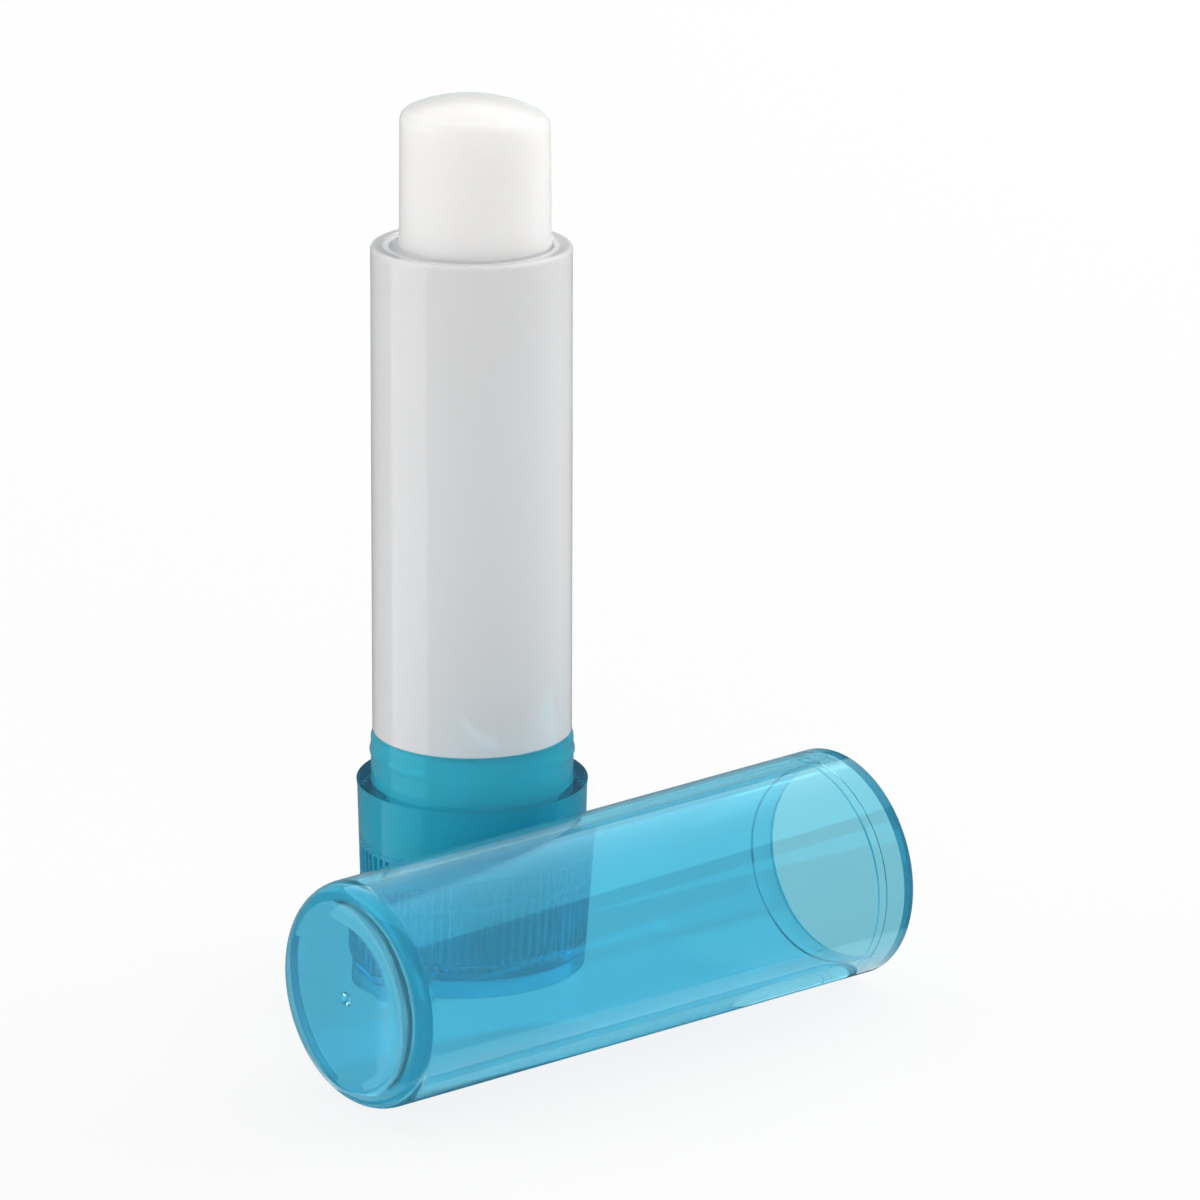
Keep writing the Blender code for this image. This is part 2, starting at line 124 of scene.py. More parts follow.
# Balm
BALM_FOOT = 31.8 * MM
CUP_TOP = 39.8 * MM
BALM_TOP = 74.0 * MM
BALM_PLUG_RADIUS = 5.45 * MM
BALM_SHOULDER_RADIUS = 6.06 * MM
BALM_NECK_RADIUS = 6.14 * MM
BALM_NECK = 61.9 * MM
BALM_CAST_RADIUS = 6.61 * MM
BALM_CAST_TOP = 61.78 * MM
BALM_EDGE = 72.5 * MM
BALM_EDGE_ROUND = 1.2 * MM
BALM_TILT = 0.045
BALM_TILT_REACH = 6 * MM
DOME_SHARE = 0.8

# Cap
CAP_LENGTH = 50.87 * MM
CAP_MOUTH_RADIUS = 9.55 * MM
CAP_END_RADIUS = 9.10 * MM
CAP_MOUTH_BORE = 8.42 * MM
CAP_END_BORE = 8.27 * MM
CAP_END_ROUND = 2.5 * MM
CAP_END_WALL = 1.3 * MM
CAP_INNER_ROUND = 0.9 * MM
CAP_END_DOME = 0.25 * MM
CAP_CORNER_REACH = 1.3 * MM
CAP_LEAD_WIDTH = 0.22 * MM
CAP_LEAD_HEIGHT = 0.5 * MM
CAP_GROOVE_START = 2.35 * MM
CAP_GROOVE_END = 3.35 * MM
CAP_GROOVE_DEPTH = 0.14 * MM
CAP_NUB_RADIUS = 0.6 * MM
CAP_NUB_HEIGHT = 0.4 * MM

# Fillets and mesh fineness
SMALL_FILLET = 0.1 * MM
FINE_FILLET = 0.04 * MM
FOOT_RECESS_FILLET = 0.3 * MM
BEAD_FILLET = 0.3 * MM
CAP_DOME_FILLET = 20 * MM
SUPPORT = 0.12 * MM
LONGEST_STRETCH = 2.0 * MM
LATHE_STEPS = 288
ARC_STEPS = 8
RIB_RUNOUT_STEPS = 6
TRACK_ROWS = 120
SHARP_ANGLE = math.radians(40)

# Clear blue plastic: its tint at the faces, and what it absorbs per millimetre.
# RIPPLES, here and below, and GRAIN are noise scales per metre.
BASE_TINT = (0.25, 0.76, 0.93)
BASE_ABSORBED = (0.7, 0.085, 0.055)
BASE_GLOSS = 0.3
CAP_TINT = (0.315, 0.835, 0.985)
CAP_ABSORBED = (0.06, 0.045, 0.025)
# The cap's mouth edge and the thick corner inside its closed end take a darker, deeper-teal, less
# clear copy of the cap's plastic. This is painted shade where the thick plastic shows dark.
PAINTED_SHADE_TINT = (0.01, 0.6, 0.74)
PAINTED_SHADE_ABSORBED = (0.06, 0.045, 0.02)
PAINTED_SHADE_CLEARNESS = 0.55
BLUE_REFLECTION = (0.1, 0.8, 0.95)
BLUE_ROUGHNESS = 0.02
BLUE_IOR = 1.58
BLUE_RIPPLES = 260.0
BLUE_RELIEF = 0.002 * MM

# White plastics and wax. Their roughness goes between two ends with the noise's own range.
NOISE_LOW = 0.3
NOISE_HIGH = 0.7
TUBE_WHITE = (0.745, 0.745, 0.75)
TUBE_SCATTER = 0.4 * MM
TUBE_IOR = 1.6
TUBE_ROUGHNESS = (0.03, 0.06)
TUBE_GRAIN = 500.0
TUBE_RIPPLES = 150.0
TUBE_RELIEF = 0.003 * MM
NATURAL_WHITE = (0.97, 0.97, 0.98)
NATURAL_SCATTER = 0.6 * MM
NATURAL_IOR = 1.5
NATURAL_ROUGHNESS = (0.3, 0.45)
NATURAL_GRAIN = 900.0
NATURAL_RELIEF = 0.01 * MM
WAX_WHITE = (0.85, 0.843, 0.833)
WAX_SCATTER = 3.5 * MM
WAX_SPREAD = (1.0, 0.9, 0.75)
WAX_IOR = 1.44
WAX_ROUGHNESS = (0.22, 0.25)
WAX_GRAIN = 1500.0
WAX_GRAIN_DETAIL = 3.0
WAX_RELIEF = 0.006 * MM

# Studio
FLOOR_SIZE = 6.0
FLOOR_WHITE = (0.8, 0.8, 0.8)
FLOOR_ROUGHNESS = 0.5
FLOOR_POLISH = 0.02
FLOOR_SHOWN_WHITE = 0.85
FLOOR_MIRROR = 0.85
SEEN_THROUGH = 0.75
WORLD_LIGHT = 0.05
PLAIN_WHITE = (1.0, 1.0, 1.0)
BACK_CARD_COLOUR = (0.45, 0.87, 1.0)


def filleted(corners, steps=ARC_STEPS):
    """An outline whose corners, given as (radius, height, fillet), are rounded with arcs."""
    points = []
    for index, (radius, height, fillet) in enumerate(corners):
        here = Vector((radius, height))
        if not fillet:
            points.append(here)
            continue
        before = (Vector(corners[index - 1][:2]) - here).normalized()
        after = (Vector(corners[(index + 1) % len(corners)][:2]) - here).normalized()
        half = before.angle(after) / 2
        start = here + before * fillet / math.tan(half)
        end = here + after * fillet / math.tan(half)
        centre = here + (before + after).normalized() * fillet / math.sin(half)
        first = math.atan2(*(start - centre).yx)
        sweep = math.atan2(*(end - centre).yx) - first
        sweep = (sweep + math.pi) % (2 * math.pi) - math.pi
        for step in range(steps + 1):
            angle = first + sweep * step / steps
            points.append(centre + fillet * Vector((math.cos(angle), math.sin(angle))))
    return points


def supported(points, closed):
    """The outline with its long stretches split, and with a point close to each of their ends."""
    result = []
    count = len(points)
    for index in range(count if closed else count - 1):
        here, there = points[index], points[(index + 1) % count]
        span = (there - here).length
        shares = [0.0]
        if span > 4 * SUPPORT:
            pieces = max(1, math.ceil(span / LONGEST_STRETCH))
            edge = SUPPORT / span
            shares += [edge + (1 - 2 * edge) * piece / pieces for piece in range(pieces + 1)]
        result += [here.lerp(there, share) for share in shares]
    if not closed:
        result.append(points[-1])
    return result


def lathe(name, outline, steps=LATHE_STEPS, press=None):
    """A solid of revolution about local Z, from a closed outline or from one that ends on the axis.

    press(radius, height, angle) gives the radius that a point takes, for ribs and tracks."""
    closed = outline[0].x > 0
    outline = supported(outline, closed)
    vertices, rings = [], []
    for radius, height in outline:
        if radius <= 0:
            rings.append([len(vertices)] * steps)
            vertices.append((0, 0, height))
            continue
        rings.append(list(range(len(vertices), len(vertices) + steps)))
        for step in range(steps):
            angle = 2 * math.pi * step / steps
            pressed = press(radius, height, angle) if press else radius
            vertices.append((pressed * math.cos(angle), pressed * math.sin(angle), height))
    faces = []
    count = len(rings)
    for index in range(count if closed else count - 1):
        low, high = rings[index], rings[(index + 1) % count]
        for step in range(steps):
            after = (step + 1) % steps
            corners = (low[step], low[after], high[after], high[step])
            faces.append(tuple(dict.fromkeys(corners)))    # a triangle where a ring is one point
    mesh = bpy.data.meshes.new(name)
    mesh.from_pydata(vertices, [], faces)
    mesh.shade_smooth()
    obj = bpy.data.objects.new(name, mesh)
    bpy.context.scene.collection.objects.link(obj)
    face_out(mesh)
    mesh.set_sharp_from_angle(angle=SHARP_ANGLE)
    return obj


def face_out(mesh):
    """Turn the faces outwards, by the sign of the volume that they enclose."""
    mesh.calc_loop_triangles()
    volume = 0.0
    for triangle in mesh.loop_triangles:
        a, b, c = (mesh.vertices[index].co for index in triangle.vertices)
        volume += a.dot(b.cross(c))
    if volume < 0:
        mesh.flip_normals()


def smoothstep(low, high, value):
    """0 below low, 1 above high, and a smooth rise between them."""
    share = min(max((value - low) / (high - low), 0.0), 1.0)
    return share * share * (3 - 2 * share)


def base_side(height):
    """Radius of the base's drafted side at a height."""
    return BASE_RADIUS - BASE_DRAFT * (LEDGE_HEIGHT - LEDGE_FADE - height)


def press_ribs(radius, height, angle):
    """The base's radius, with the grooves between the grip ribs pressed into its side."""
    if radius < COLLAR_RADIUS + SMALL_FILLET or not RIB_BOTTOM <= height <= RIB_TOP:
        return radius
    pitch = 2 * math.pi / RIB_COUNT
    across = ((angle / pitch + 0.5) % 1 - 0.5) * pitch * radius
    depth = RIB_DEPTH * max(0.0, 1 - (across / RIB_HALF_WIDTH) ** 2)
    ends = smoothstep(RIB_BOTTOM, RIB_BOTTOM + RIB_RUNOUT, height)
    ends *= smoothstep(RIB_TOP, RIB_TOP - RIB_RUNOUT, height)
    return radius - depth * ends


def rib_levels():
    """Heights up the ribs' side, close together where the grooves run out."""
    runout = [RIB_RUNOUT * step / RIB_RUNOUT_STEPS for step in range(RIB_RUNOUT_STEPS + 1)]
    return [RIB_BOTTOM + rise for rise in runout] + [RIB_TOP - drop for drop in reversed(runout)]


def groove(bore, depth_radius, middle, length):
    """Corners of a retaining groove in a bore, from below it to above it."""
    slope = depth_radius - bore
    return [
        (bore, middle - length / 2, FINE_FILLET),
        (depth_radius, middle - length / 2 + slope, FINE_FILLET),
        (depth_radius, middle + length / 2 - slope, FINE_FILLET),
        (bore, middle + length / 2, FINE_FILLET),
    ]


def make_base():
    """The clear base: foot ring, ribs, band, ledge, collar with its bead, bore and inner boss."""
    corners = [
        (0, FOOT_DEPTH, 0),
        (FOOT_RADIUS, FOOT_DEPTH, FOOT_RECESS_FILLET),
        (FOOT_RADIUS, 0, SMALL_FILLET),
        (base_side(0), 0, FOOT_CORNER),
    ]
    corners += [(base_side(level), level, 0) for level in rib_levels()]
    corners += [
        (BASE_RADIUS, LEDGE_HEIGHT - LEDGE_FADE, 0),
        (BASE_RADIUS + LEDGE_STEP, LEDGE_HEIGHT, FINE_FILLET),
        (COLLAR_RADIUS, LEDGE_HEIGHT, SMALL_FILLET),
        (COLLAR_RADIUS, BEAD_HEIGHT - BEAD_LENGTH / 2, SMALL_FILLET),
        (COLLAR_RADIUS + BEAD_STEP, BEAD_HEIGHT, BEAD_FILLET),
        (COLLAR_RADIUS, BEAD_HEIGHT + BEAD_LENGTH / 2, SMALL_FILLET),
        (COLLAR_RADIUS, COLLAR_TOP - COLLAR_LEAD_HEIGHT, SMALL_FILLET),
        (COLLAR_RADIUS - COLLAR_LEAD_WIDTH, COLLAR_TOP, SMALL_FILLET),
        (BASE_BORE, COLLAR_TOP, SMALL_FILLET),
        (BASE_BORE, RIB_TOP + SMALL_FILLET, FINE_FILLET),
        (SLEEVE_BORE, RIB_TOP, FINE_FILLET),
        (SLEEVE_BORE, FLOOR_TOP, SMALL_FILLET),
        (BOSS_RADIUS, FLOOR_TOP, SMALL_FILLET),
        (BOSS_RADIUS, BOSS_TOP, SMALL_FILLET),
        (BOSS_BORE, BOSS_TOP, SMALL_FILLET),
        (BOSS_BORE, FLOOR_TOP, SMALL_FILLET),
        (0, FLOOR_TOP, 0),
    ]
    return lathe("base_shell", filleted(corners), RIB_COUNT * RIB_STEPS, press_ribs)


def press_tracks(radius, height, angle):
    """The tube's bore, with the two right-handed helical tracks pressed into it."""
    if radius > SLEEVE_BORE + FINE_FILLET or not TRACK_LOW < height < TRACK_HIGH:
        return radius
    turns = (height - LUG_LEVEL) / TRACK_LEAD
    behind = (angle - SLOT_ANGLE) / (2 * math.pi) - turns
    nearest = (behind * TRACK_COUNT + 0.5) % 1 - 0.5
    away = abs(nearest) / TRACK_COUNT * TRACK_LEAD
    inside = smoothstep(TRACK_HALF_WIDTH + SMALL_FILLET, TRACK_HALF_WIDTH - SMALL_FILLET, away)
    ends = smoothstep(TRACK_LOW, TRACK_LOW + TRACK_HALF_WIDTH, height)
    ends *= smoothstep(TRACK_HIGH, TRACK_HIGH - TRACK_HALF_WIDTH, height)
    return radius + TRACK_DEPTH * inside * ends


def make_tube():
    """The white barrel, with its round lip, its foot on the collar and the tracks in its bore."""
    corners = [
        (SLEEVE_BORE, TUBE_TOP - TUBE_MOUTH_DEPTH - FINE_FILLET, 0),
        (TUBE_MOUTH_BORE, TUBE_TOP - TUBE_MOUTH_DEPTH, 0),
        (TUBE_MOUTH_BORE, TUBE_TOP, SMALL_FILLET),
        (TUBE_TOP_RADIUS, TUBE_TOP, TUBE_LIP_ROUND),
        (TUBE_FOOT_RADIUS, TUBE_FOOT, SMALL_FILLET),
        (SLEEVE_BORE, TUBE_FOOT, SMALL_FILLET),
    ]
    corners += groove(SLEEVE_BORE, GROOVE_RADIUS, TUBE_GROOVE_HEIGHT, GROOVE_LENGTH)
    for row in range(TRACK_ROWS + 1):
        level = TRACK_LOW + (TRACK_HIGH - TRACK_LOW) * row / TRACK_ROWS
        corners.append((SLEEVE_BORE, level, 0))
    return lathe("barrel", filleted(corners), LATHE_STEPS, press_tracks)


def sleeve_bead(middle):
    """Corners of the sleeve's retaining bead, from above it to below it."""
    return [
        (SLEEVE_RADIUS, middle + SLEEVE_BEAD_LENGTH / 2, FINE_FILLET),
        (SLEEVE_RADIUS + SLEEVE_BEAD_STEP, middle + SLEEVE_BEAD_LENGTH / 4, FINE_FILLET),
        (SLEEVE_RADIUS + SLEEVE_BEAD_STEP, middle - SLEEVE_BEAD_LENGTH / 4, FINE_FILLET),
        (SLEEVE_RADIUS, middle - SLEEVE_BEAD_LENGTH / 2, FINE_FILLET),
    ]


def slot_bar():
    """A bar across the sleeve, which cuts both of its straight slots."""
    reach, half = 2 * SLEEVE_RADIUS, SLOT_WIDTH / 2
    plan = [(-reach, -half), (reach, -half), (reach, half), (-reach, half)]
    vertices = [(x, y, height) for height in (SLOT_LOW, SLOT_HIGH) for x, y in plan]
    faces = [(3, 2, 1, 0), (4, 5, 6, 7)]
    faces += [(side, (side + 1) % 4, (side + 1) % 4 + 4, side + 4) for side in range(4)]
    mesh = bpy.data.meshes.new("slot_bar")
    mesh.from_pydata(vertices, [], faces)
    bar = bpy.data.objects.new("slot_bar", mesh)
    bar.rotation_euler.z = SLOT_ANGLE
    bpy.context.scene.collection.objects.link(bar)
    return bar


def make_sleeve():
    """The slotted inner tube, with its two retaining beads."""
    corners = [
        (SLEEVE_INSIDE, SLEEVE_TOP, SLEEVE_TOP_ROUND),
        (SLEEVE_RADIUS, SLEEVE_TOP, SMALL_FILLET),
    ]
    corners += sleeve_bead(TUBE_GROOVE_HEIGHT) + sleeve_bead(BASE_GROOVE_HEIGHT)
    corners += [
        (SLEEVE_RADIUS, SLEEVE_FOOT, SMALL_FILLET),
        (SLEEVE_INSIDE, SLEEVE_FOOT, SMALL_FILLET),
    ]
    sleeve = lathe("sleeve", filleted(corners))
    bar = slot_bar()
    cut = sleeve.modifiers.new("slots", "BOOLEAN")
    cut.operation = "DIFFERENCE"
    cut.object = bar
    bpy.context.view_layer.update()
    shape = sleeve.evaluated_get(bpy.context.evaluated_depsgraph_get())
    whole = sleeve.data
    sleeve.data = bpy.data.meshes.new_from_object(shape)
    sleeve.modifiers.clear()
    bpy.data.meshes.remove(whole)
    bpy.data.meshes.remove(bar.data)
    return sleeve


def tilt_dome(radius, height, angle):
    """How far the balm's top leans: lower towards the photograph's right, and level at its foot."""
    share = smoothstep(BALM_EDGE - BALM_TILT_REACH, BALM_EDGE, height)
    return -BALM_TILT * share * radius * math.cos(angle + STICK_BEARING)


def make_balm(lean):
    """The cast balm: a domed top with a soft edge, a column, and the part cast in the sleeve.

    lean is how far the column stands beside the sleeve's middle."""
    rise = BALM_TOP - BALM_EDGE
    dome = (BALM_SHOULDER_RADIUS ** 2 + rise ** 2) / (2 * rise)
    corners = [(0, BALM_TOP, 0)]
    for step in range(1, ARC_STEPS):
        radius = DOME_SHARE * BALM_SHOULDER_RADIUS * step / ARC_STEPS
        corners.append((radius, BALM_TOP - dome + math.sqrt(dome ** 2 - radius ** 2), 0))
    corners += [
        (BALM_SHOULDER_RADIUS, BALM_EDGE, BALM_EDGE_ROUND),
        (BALM_NECK_RADIUS, BALM_NECK, SMALL_FILLET),
        (BALM_CAST_RADIUS, BALM_CAST_TOP, SMALL_FILLET),
        (BALM_CAST_RADIUS, CUP_TOP, SMALL_FILLET),
        (BALM_PLUG_RADIUS, CUP_TOP, SMALL_FILLET),
        (BALM_PLUG_RADIUS, BALM_FOOT, SMALL_FILLET),
        (0, BALM_FOOT, 0),
    ]
    balm = lathe("balm_stick", filleted(corners))
    for vertex in balm.data.vertices:
        x, y, height = vertex.co
        share = smoothstep(BALM_CAST_TOP, BALM_NECK + SMALL_FILLET, height)
        vertex.co += lean * share
        vertex.co.z += tilt_dome(math.hypot(x, y), height, math.atan2(y, x))
    return balm


def make_cap():
    """The clear cap about its own axis: mouth at height 0, closed end at the top."""
    inside_top = CAP_LENGTH - CAP_END_WALL
    groove_radius = CAP_MOUTH_BORE + CAP_GROOVE_DEPTH
    corners = [
        (0, CAP_LENGTH, 0),
        (CAP_END_RADIUS, CAP_LENGTH, CAP_END_ROUND),
        (CAP_MOUTH_RADIUS, 0, SMALL_FILLET),
        (CAP_MOUTH_BORE + CAP_LEAD_WIDTH, 0, SMALL_FILLET),
        (CAP_MOUTH_BORE, CAP_LEAD_HEIGHT, SMALL_FILLET),
        (CAP_MOUTH_BORE, CAP_GROOVE_START, FINE_FILLET),
        (groove_radius, CAP_GROOVE_START + CAP_GROOVE_DEPTH, FINE_FILLET),
        (groove_radius, CAP_GROOVE_END - CAP_GROOVE_DEPTH, FINE_FILLET),
        (CAP_MOUTH_BORE, CAP_GROOVE_END, FINE_FILLET),
        (CAP_END_BORE, inside_top - CAP_END_DOME, CAP_INNER_ROUND),
        (CAP_END_BORE / 2, inside_top - CAP_END_DOME / 4, CAP_DOME_FILLET),
        (CAP_NUB_RADIUS, inside_top, SMALL_FILLET),
        (CAP_NUB_RADIUS / 2, inside_top - CAP_NUB_HEIGHT, SMALL_FILLET),
        (0, inside_top - CAP_NUB_HEIGHT, 0),
    ]
    return lathe("cap_shell", filleted(corners, 2 * ARC_STEPS))


def cap_painted_shade(radius, height):
    """Whether a point is in the cap's painted shade: its mouth edge, or the thick corner inside its
    closed end.
    """
    inside_top = CAP_LENGTH - CAP_END_WALL
    mouth = height < CAP_LEAD_HEIGHT and radius < CAP_MOUTH_RADIUS - SMALL_FILLET
    corner = CAP_END_BORE - CAP_INNER_ROUND < radius < CAP_END_BORE + SMALL_FILLET
    start, end = inside_top - CAP_CORNER_REACH, inside_top - CAP_END_DOME / 2
    return mouth or corner and start < height < end


def set_apart(obj, material, where):
    """Give the faces whose middles are in a zone, by radius and height, a second material."""
    obj.data.materials.append(material)
    for face in obj.data.polygons:
        x, y, height = face.center
        if where(math.hypot(x, y), height):
            face.material_index = len(obj.data.materials) - 1


def new_material(name):
    """A material and its Principled shader."""
    material = bpy.data.materials.new(name)
    material.use_nodes = True
    return material, material.node_tree.nodes["Principled BSDF"]


def add_noise(material, scale, detail=2.0):
    """A noise texture in the object's own coordinates. The scale is per metre."""
    tree = material.node_tree
    place = tree.nodes.new("ShaderNodeTexCoord")
    noise = tree.nodes.new("ShaderNodeTexNoise")
    noise.inputs["Scale"].default_value = scale
    noise.inputs["Detail"].default_value = detail
    tree.links.new(place.outputs["Object"], noise.inputs["Vector"])
    return noise.outputs["Fac"]


def add_bump(material, shader, noise, relief):
    """Fine relief from a noise, as high as relief."""
    tree = material.node_tree
    bump = tree.nodes.new("ShaderNodeBump")
    bump.inputs["Distance"].default_value = relief
    tree.links.new(noise, bump.inputs["Height"])
    tree.links.new(bump.outputs["Normal"], shader.inputs["Normal"])


def spread(tree, value, low, high, start=0.0, end=1.0):
    """A socket that goes from low to high while another one goes from start to end."""
    node = tree.nodes.new("ShaderNodeMapRange")
    node.inputs["From Min"].default_value = start
    node.inputs["From Max"].default_value = end
    node.inputs["To Min"].default_value = low
    node.inputs["To Max"].default_value = high
    tree.links.new(value, node.inputs["Value"])
    return node.outputs["Result"]


def vary_roughness(material, shader, noise, ends):
    """Let the roughness go from one end to the other with a noise."""
    tree = material.node_tree
    roughness = spread(tree, noise, *ends, NOISE_LOW, NOISE_HIGH)
    tree.links.new(roughness, shader.inputs["Roughness"])


def clear_blue_plastic(piece, tint, absorbed, clearness=0.9, gloss=0.5):
    """Transparent teal-blue polystyrene, tinted at its faces, and by depth: absorbed is per mm."""
    material, shader = new_material("clear_blue_plastic_" + piece)
    shader.inputs["Base Color"].default_value = (*tint, 1.0)
    shader.inputs["Specular Tint"].default_value = (*BLUE_REFLECTION, 1.0)
    shader.inputs["Roughness"].default_value = BLUE_ROUGHNESS
    shader.inputs["IOR"].default_value = BLUE_IOR
    shader.inputs["Transmission Weight"].default_value = clearness
    shader.inputs["Specular IOR Level"].default_value = gloss
    tree = material.node_tree
    depth = tree.nodes.new("ShaderNodeVolumeAbsorption")
    strongest = max(absorbed)
    depth.inputs["Color"].default_value = (*(1 - share / strongest for share in absorbed), 1.0)
    depth.inputs["Density"].default_value = strongest / MM
    tree.links.new(depth.outputs["Volume"], tree.nodes["Material Output"].inputs["Volume"])
    add_bump(material, shader, add_noise(material, BLUE_RIPPLES), BLUE_RELIEF)
    return material


def scattering(name, colour, scatter, ior, spread_colour=PLAIN_WHITE):
    """A pale material that light enters a little way, each colour by its own share of scatter."""
    material, shader = new_material(name)
    shader.inputs["Base Color"].default_value = (*colour, 1.0)
    shader.inputs["Subsurface Weight"].default_value = 1.0
    shader.inputs["Subsurface Radius"].default_value = spread_colour
    shader.inputs["Subsurface Scale"].default_value = scatter
    shader.inputs["IOR"].default_value = ior
    return material, shader


def white_gloss_plastic():
    """White glossy moulded plastic."""
    name = "white_gloss_plastic_look"
    material, shader = scattering(name, TUBE_WHITE, TUBE_SCATTER, TUBE_IOR)
    vary_roughness(material, shader, add_noise(material, TUBE_GRAIN), TUBE_ROUGHNESS)
    add_bump(material, shader, add_noise(material, TUBE_RIPPLES), TUBE_RELIEF)
    return material


def white_natural_plastic():
    """Slightly milky white plastic of the parts inside."""
    name = "white_natural_plastic_look"
    material, shader = scattering(name, NATURAL_WHITE, NATURAL_SCATTER, NATURAL_IOR)
    grain = add_noise(material, NATURAL_GRAIN)
    vary_roughness(material, shader, grain, NATURAL_ROUGHNESS)
    add_bump(material, shader, grain, NATURAL_RELIEF)
    return material


def balm_wax():
    """Waxy, slightly translucent cast balm."""
    material, shader = scattering("balm_wax_look", WAX_WHITE, WAX_SCATTER, WAX_IOR, WAX_SPREAD)
    grain = add_noise(material, WAX_GRAIN, WAX_GRAIN_DETAIL)
    vary_roughness(material, shader, grain, WAX_ROUGHNESS)
    add_bump(material, shader, grain, WAX_RELIEF)
    return material


def reckon(tree, operation, first, second):
    """The result of a Math node, from a socket and from a second socket or a number."""
    node = tree.nodes.new("ShaderNodeMath")
    node.operation = operation
    tree.links.new(first, node.inputs[0])
    if isinstance(second, float):
        node.inputs[1].default_value = second
    else:
        tree.links.new(second, node.inputs[1])
    return node.outputs[0]


def ray_is(tree, *kinds):
    """A socket that is 1 for any of these kinds of ray."""
    path = tree.nodes.new("ShaderNodeLightPath")
    total = path.outputs[kinds[0]]
    for kind in kinds[1:]:
        total = reckon(tree, "MAXIMUM", total, path.outputs[kind])
    return total


def mixed(tree, share, first, second):
    """A shader that goes from the first to the second one as the share goes from 0 to 1."""
    node = tree.nodes.new("ShaderNodeMixShader")
    for source, socket in zip((share, first, second), node.inputs):
        tree.links.new(source, socket)
    return node.outputs[0]


def floor_material():
    """White to the camera, save for the shadows, and nearly a mirror in glossy reflections."""
    material, shader = new_material("studio_floor")
    shader.inputs["Base Color"].default_value = (*FLOOR_WHITE, 1.0)
    shader.inputs["Roughness"].default_value = FLOOR_ROUGHNESS
    tree = material.node_tree
    polish = tree.nodes.new("ShaderNodeBsdfGlossy")
    polish.inputs["Roughness"].default_value = FLOOR_POLISH
    mirrored = reckon(tree, "MULTIPLY", ray_is(tree, "Is Glossy Ray"), FLOOR_MIRROR)
    surface = mixed(tree, mirrored, shader.outputs[0], polish.outputs[0])
    glow = tree.nodes.new("ShaderNodeEmission")
    glow.inputs["Color"].default_value = (*PLAIN_WHITE, 1.0)
    strength = spread(tree, ray_is(tree, "Is Transmission Ray"), 1.0, SEEN_THROUGH)
    tree.links.new(strength, glow.inputs["Strength"])
    seen = ray_is(tree, "Is Camera Ray", "Is Transmission Ray")
    shown = reckon(tree, "MULTIPLY", seen, FLOOR_SHOWN_WHITE)
    whole = mixed(tree, shown, surface, glow.outputs[0])
    tree.links.new(whole, tree.nodes["Material Output"].inputs["Surface"])
    return material


def make_floor():
    """A plain white floor, which shows white and keeps the object's soft shadow."""
    mesh = bpy.data.meshes.new("studio_floor")
    half = FLOOR_SIZE / 2
    corners = [(-half, -half, 0), (half, -half, 0), (half, half, 0), (-half, half, 0)]
    mesh.from_pydata(corners, [], [(0, 1, 2, 3)])
    mesh.materials.append(floor_material())
    floor = bpy.data.objects.new("studio_floor", mesh)
    bpy.context.scene.collection.objects.link(floor)


def make_world():
    """Even grey light all round. The camera sees it as white, and clear plastic as nearly white."""
    world = bpy.data.worlds.new("studio")
    bpy.context.scene.world = world
    world.use_nodes = True
    tree = world.node_tree
    back = tree.nodes["Background"]
    back.inputs["Color"].default_value = (*PLAIN_WHITE, 1.0)
    shown = spread(tree, ray_is(tree, "Is Camera Ray"), WORLD_LIGHT, 1.0)
    through = spread(tree, ray_is(tree, "Is Transmission Ray"), 0.0, SEEN_THROUGH)
    tree.links.new(reckon(tree, "MAXIMUM", shown, through), back.inputs["Strength"])


def make_softbox(name, azimuth, distance, height, size, radiance,
                 diffuse=True, mirrored=True, colour=PLAIN_WHITE):
    """An area light that faces the stick, or faces down where it hangs higher than it is far.

    The azimuth is counted from the camera's side to its right."""
    light = bpy.data.lights.new(name, "AREA")
    light.shape = "RECTANGLE"
    light.size, light.size_y = size
    light.color = colour
    light.energy = radiance * math.pi * size[0] * size[1]
    lamp = bpy.data.objects.new(name, light)
    bpy.context.scene.collection.objects.link(lamp)
    lamp.visible_diffuse = diffuse
    lamp.visible_glossy = mirrored
    turn = math.radians(azimuth) - STICK_BEARING - math.pi / 2
    lamp.location = Vector((math.cos(turn) * distance, math.sin(turn) * distance, height))
    level = Vector((0, 0, height))
    away = lamp.location - level if distance > height else Vector((0, 0, 1))
    lamp.matrix_world = Matrix.Translation(lamp.location) @ facing(away, turn)


def facing(away, turn):
    """A turn that points a light's back along a direction, with its width held level."""
    level = Vector((-math.sin(turn), math.cos(turn), 0))
    back = away.normalized()
    return Matrix((level, back.cross(level), back)).transposed().to_4x4()


def make_lamps():
    """Fills light the set unmirrored, cards show in the gloss alone, the top softbox does both."""
    make_softbox("left_fill", azimuth=-96, distance=0.8, height=0.33,
                 size=(1.3, 0.64), radiance=1.45, mirrored=False)
    make_softbox("front_fill", azimuth=0, distance=1.0, height=0.30,
                 size=(1.2, 0.56), radiance=3.09, mirrored=False)
    make_softbox("right_fill", azimuth=110, distance=0.8, height=0.33,
                 size=(0.9, 0.64), radiance=2.35, mirrored=False)
    make_softbox("right_back_fill", azimuth=140, distance=0.8, height=0.33,
                 size=(0.9, 0.64), radiance=2.0, mirrored=False)
    make_softbox("top_softbox", azimuth=180, distance=0.5, height=0.8,
                 size=(1.6, 1.4), radiance=1.42)
    make_softbox("left_card", azimuth=-79, distance=0.8, height=0.33,
                 size=(0.78, 0.64), radiance=1.3, diffuse=False)
    make_softbox("back_card", azimuth=180, distance=1.2, height=0.14,
                 size=(0.7, 0.28), radiance=0.4, diffuse=False, colour=BACK_CARD_COLOUR)


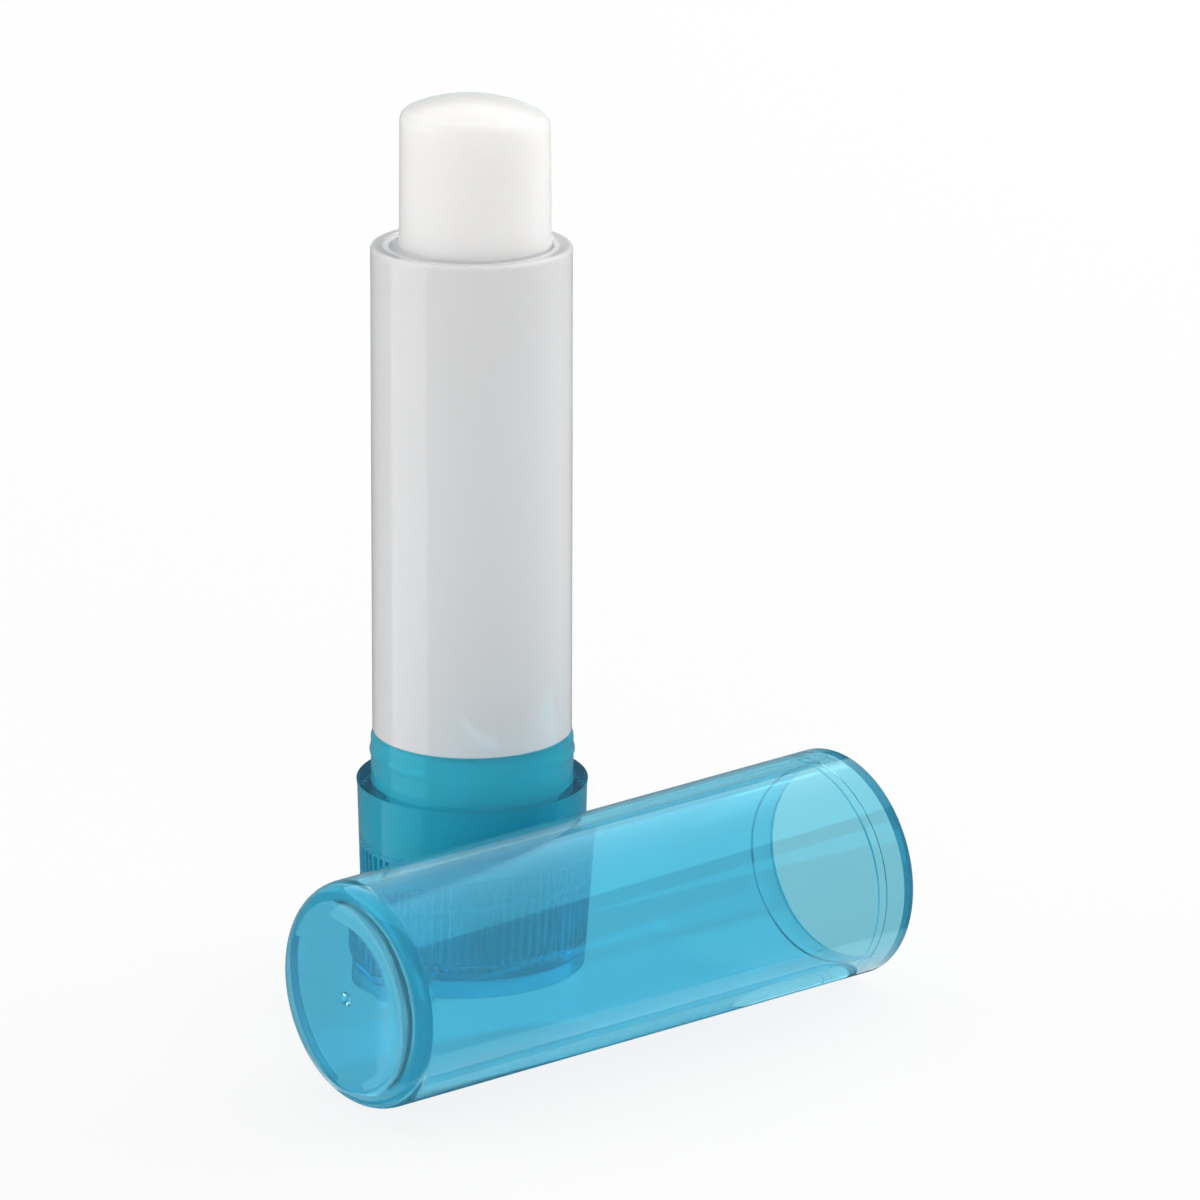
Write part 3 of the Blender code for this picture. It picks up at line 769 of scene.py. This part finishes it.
def make_camera(stick):
    """The photograph's camera."""
    data = bpy.data.cameras.new("photo_camera")
    data.sensor_width = SENSOR_WIDTH
    data.lens = CAMERA_LENS
    data.clip_start = CAMERA_NEAREST
    camera = bpy.data.objects.new("photo_camera", data)
    bpy.context.scene.collection.objects.link(camera)
    bearing = Matrix.Rotation(-STICK_BEARING, 4, "Z")
    place = stick + bearing @ Vector((0, -CAMERA_DISTANCE, CAMERA_HEIGHT))
    heading = Matrix.Rotation(-STICK_BEARING - CAMERA_YAW, 4, "Z")
    tilt = Matrix.Rotation(math.pi / 2 - CAMERA_PITCH, 4, "X")
    roll = Matrix.Rotation(CAMERA_ROLL, 4, "Z")
    camera.matrix_world = Matrix.Translation(place) @ heading @ tilt @ roll
    bpy.context.scene.camera = camera


def middle_of(node):
    """The middle of a CAD node's box, at floor height."""
    low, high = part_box(node)
    return Vector(((low.x + high.x) / 2, (low.y + high.y) / 2, 0))


def place_cap(obj):
    """Lay the cap where the frame has it: mouth towards +X, resting on its side."""
    low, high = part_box("cap")
    tilt = math.atan2(CAP_MOUTH_RADIUS - CAP_END_RADIUS, CAP_LENGTH)
    mouth_x = high.x - CAP_MOUTH_RADIUS * math.sin(tilt)
    mouth = Vector((mouth_x, (low.y + high.y) / 2, CAP_MOUTH_RADIUS * math.cos(tilt)))
    obj.matrix_world = Matrix.Translation(mouth) @ Matrix.Rotation(-math.pi / 2 - tilt, 4, "Y")


def dress(obj, material, body, node):
    """Give a piece its material and body, and hide its CAD node."""
    obj.data.materials.append(material)
    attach(obj, body)
    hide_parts(node)


def main():
    """Set up the studio and the camera, and dress every piece."""
    stick = middle_of("outer_tube")
    make_camera(stick)
    make_world()
    make_floor()
    make_lamps()

    base_blue = clear_blue_plastic("base", BASE_TINT, BASE_ABSORBED, gloss=BASE_GLOSS)
    cap_blue = clear_blue_plastic("cap", CAP_TINT, CAP_ABSORBED)
    # A darker, less clear copy of the cap's plastic, used as painted shade on the mouth edge and on
    # the inner corner of the closed end.
    painted_shade_blue = clear_blue_plastic("cap_painted_shade", PAINTED_SHADE_TINT, PAINTED_SHADE_ABSORBED, PAINTED_SHADE_CLEARNESS)
    white = white_gloss_plastic()
    natural = white_natural_plastic()
    wax = balm_wax()

    base = make_base()
    base.location = stick
    dress(base, base_blue, "base", "twist_base")
    sleeve = make_sleeve()
    sleeve.location = stick
    dress(sleeve, natural, "base", "guide_sleeve")
    tube = make_tube()
    tube.location = stick
    dress(tube, white, "barrel", "outer_tube")
    balm = make_balm(middle_of("balm") - stick)
    balm.location = stick
    dress(balm, wax, "carrier", "balm")
    cap = make_cap()
    place_cap(cap)
    dress(cap, cap_blue, "cap", "cap")
    # Painted shade: the darker copy goes on the cap's mouth edge and on the thick corner inside its
    # closed end.
    set_apart(cap, painted_shade_blue, cap_painted_shade)
    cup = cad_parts["carrier_cup"]
    cup.data.materials.clear()
    cup.data.materials.append(natural)
    bpy.context.scene.view_settings.view_transform = "Standard"


main()
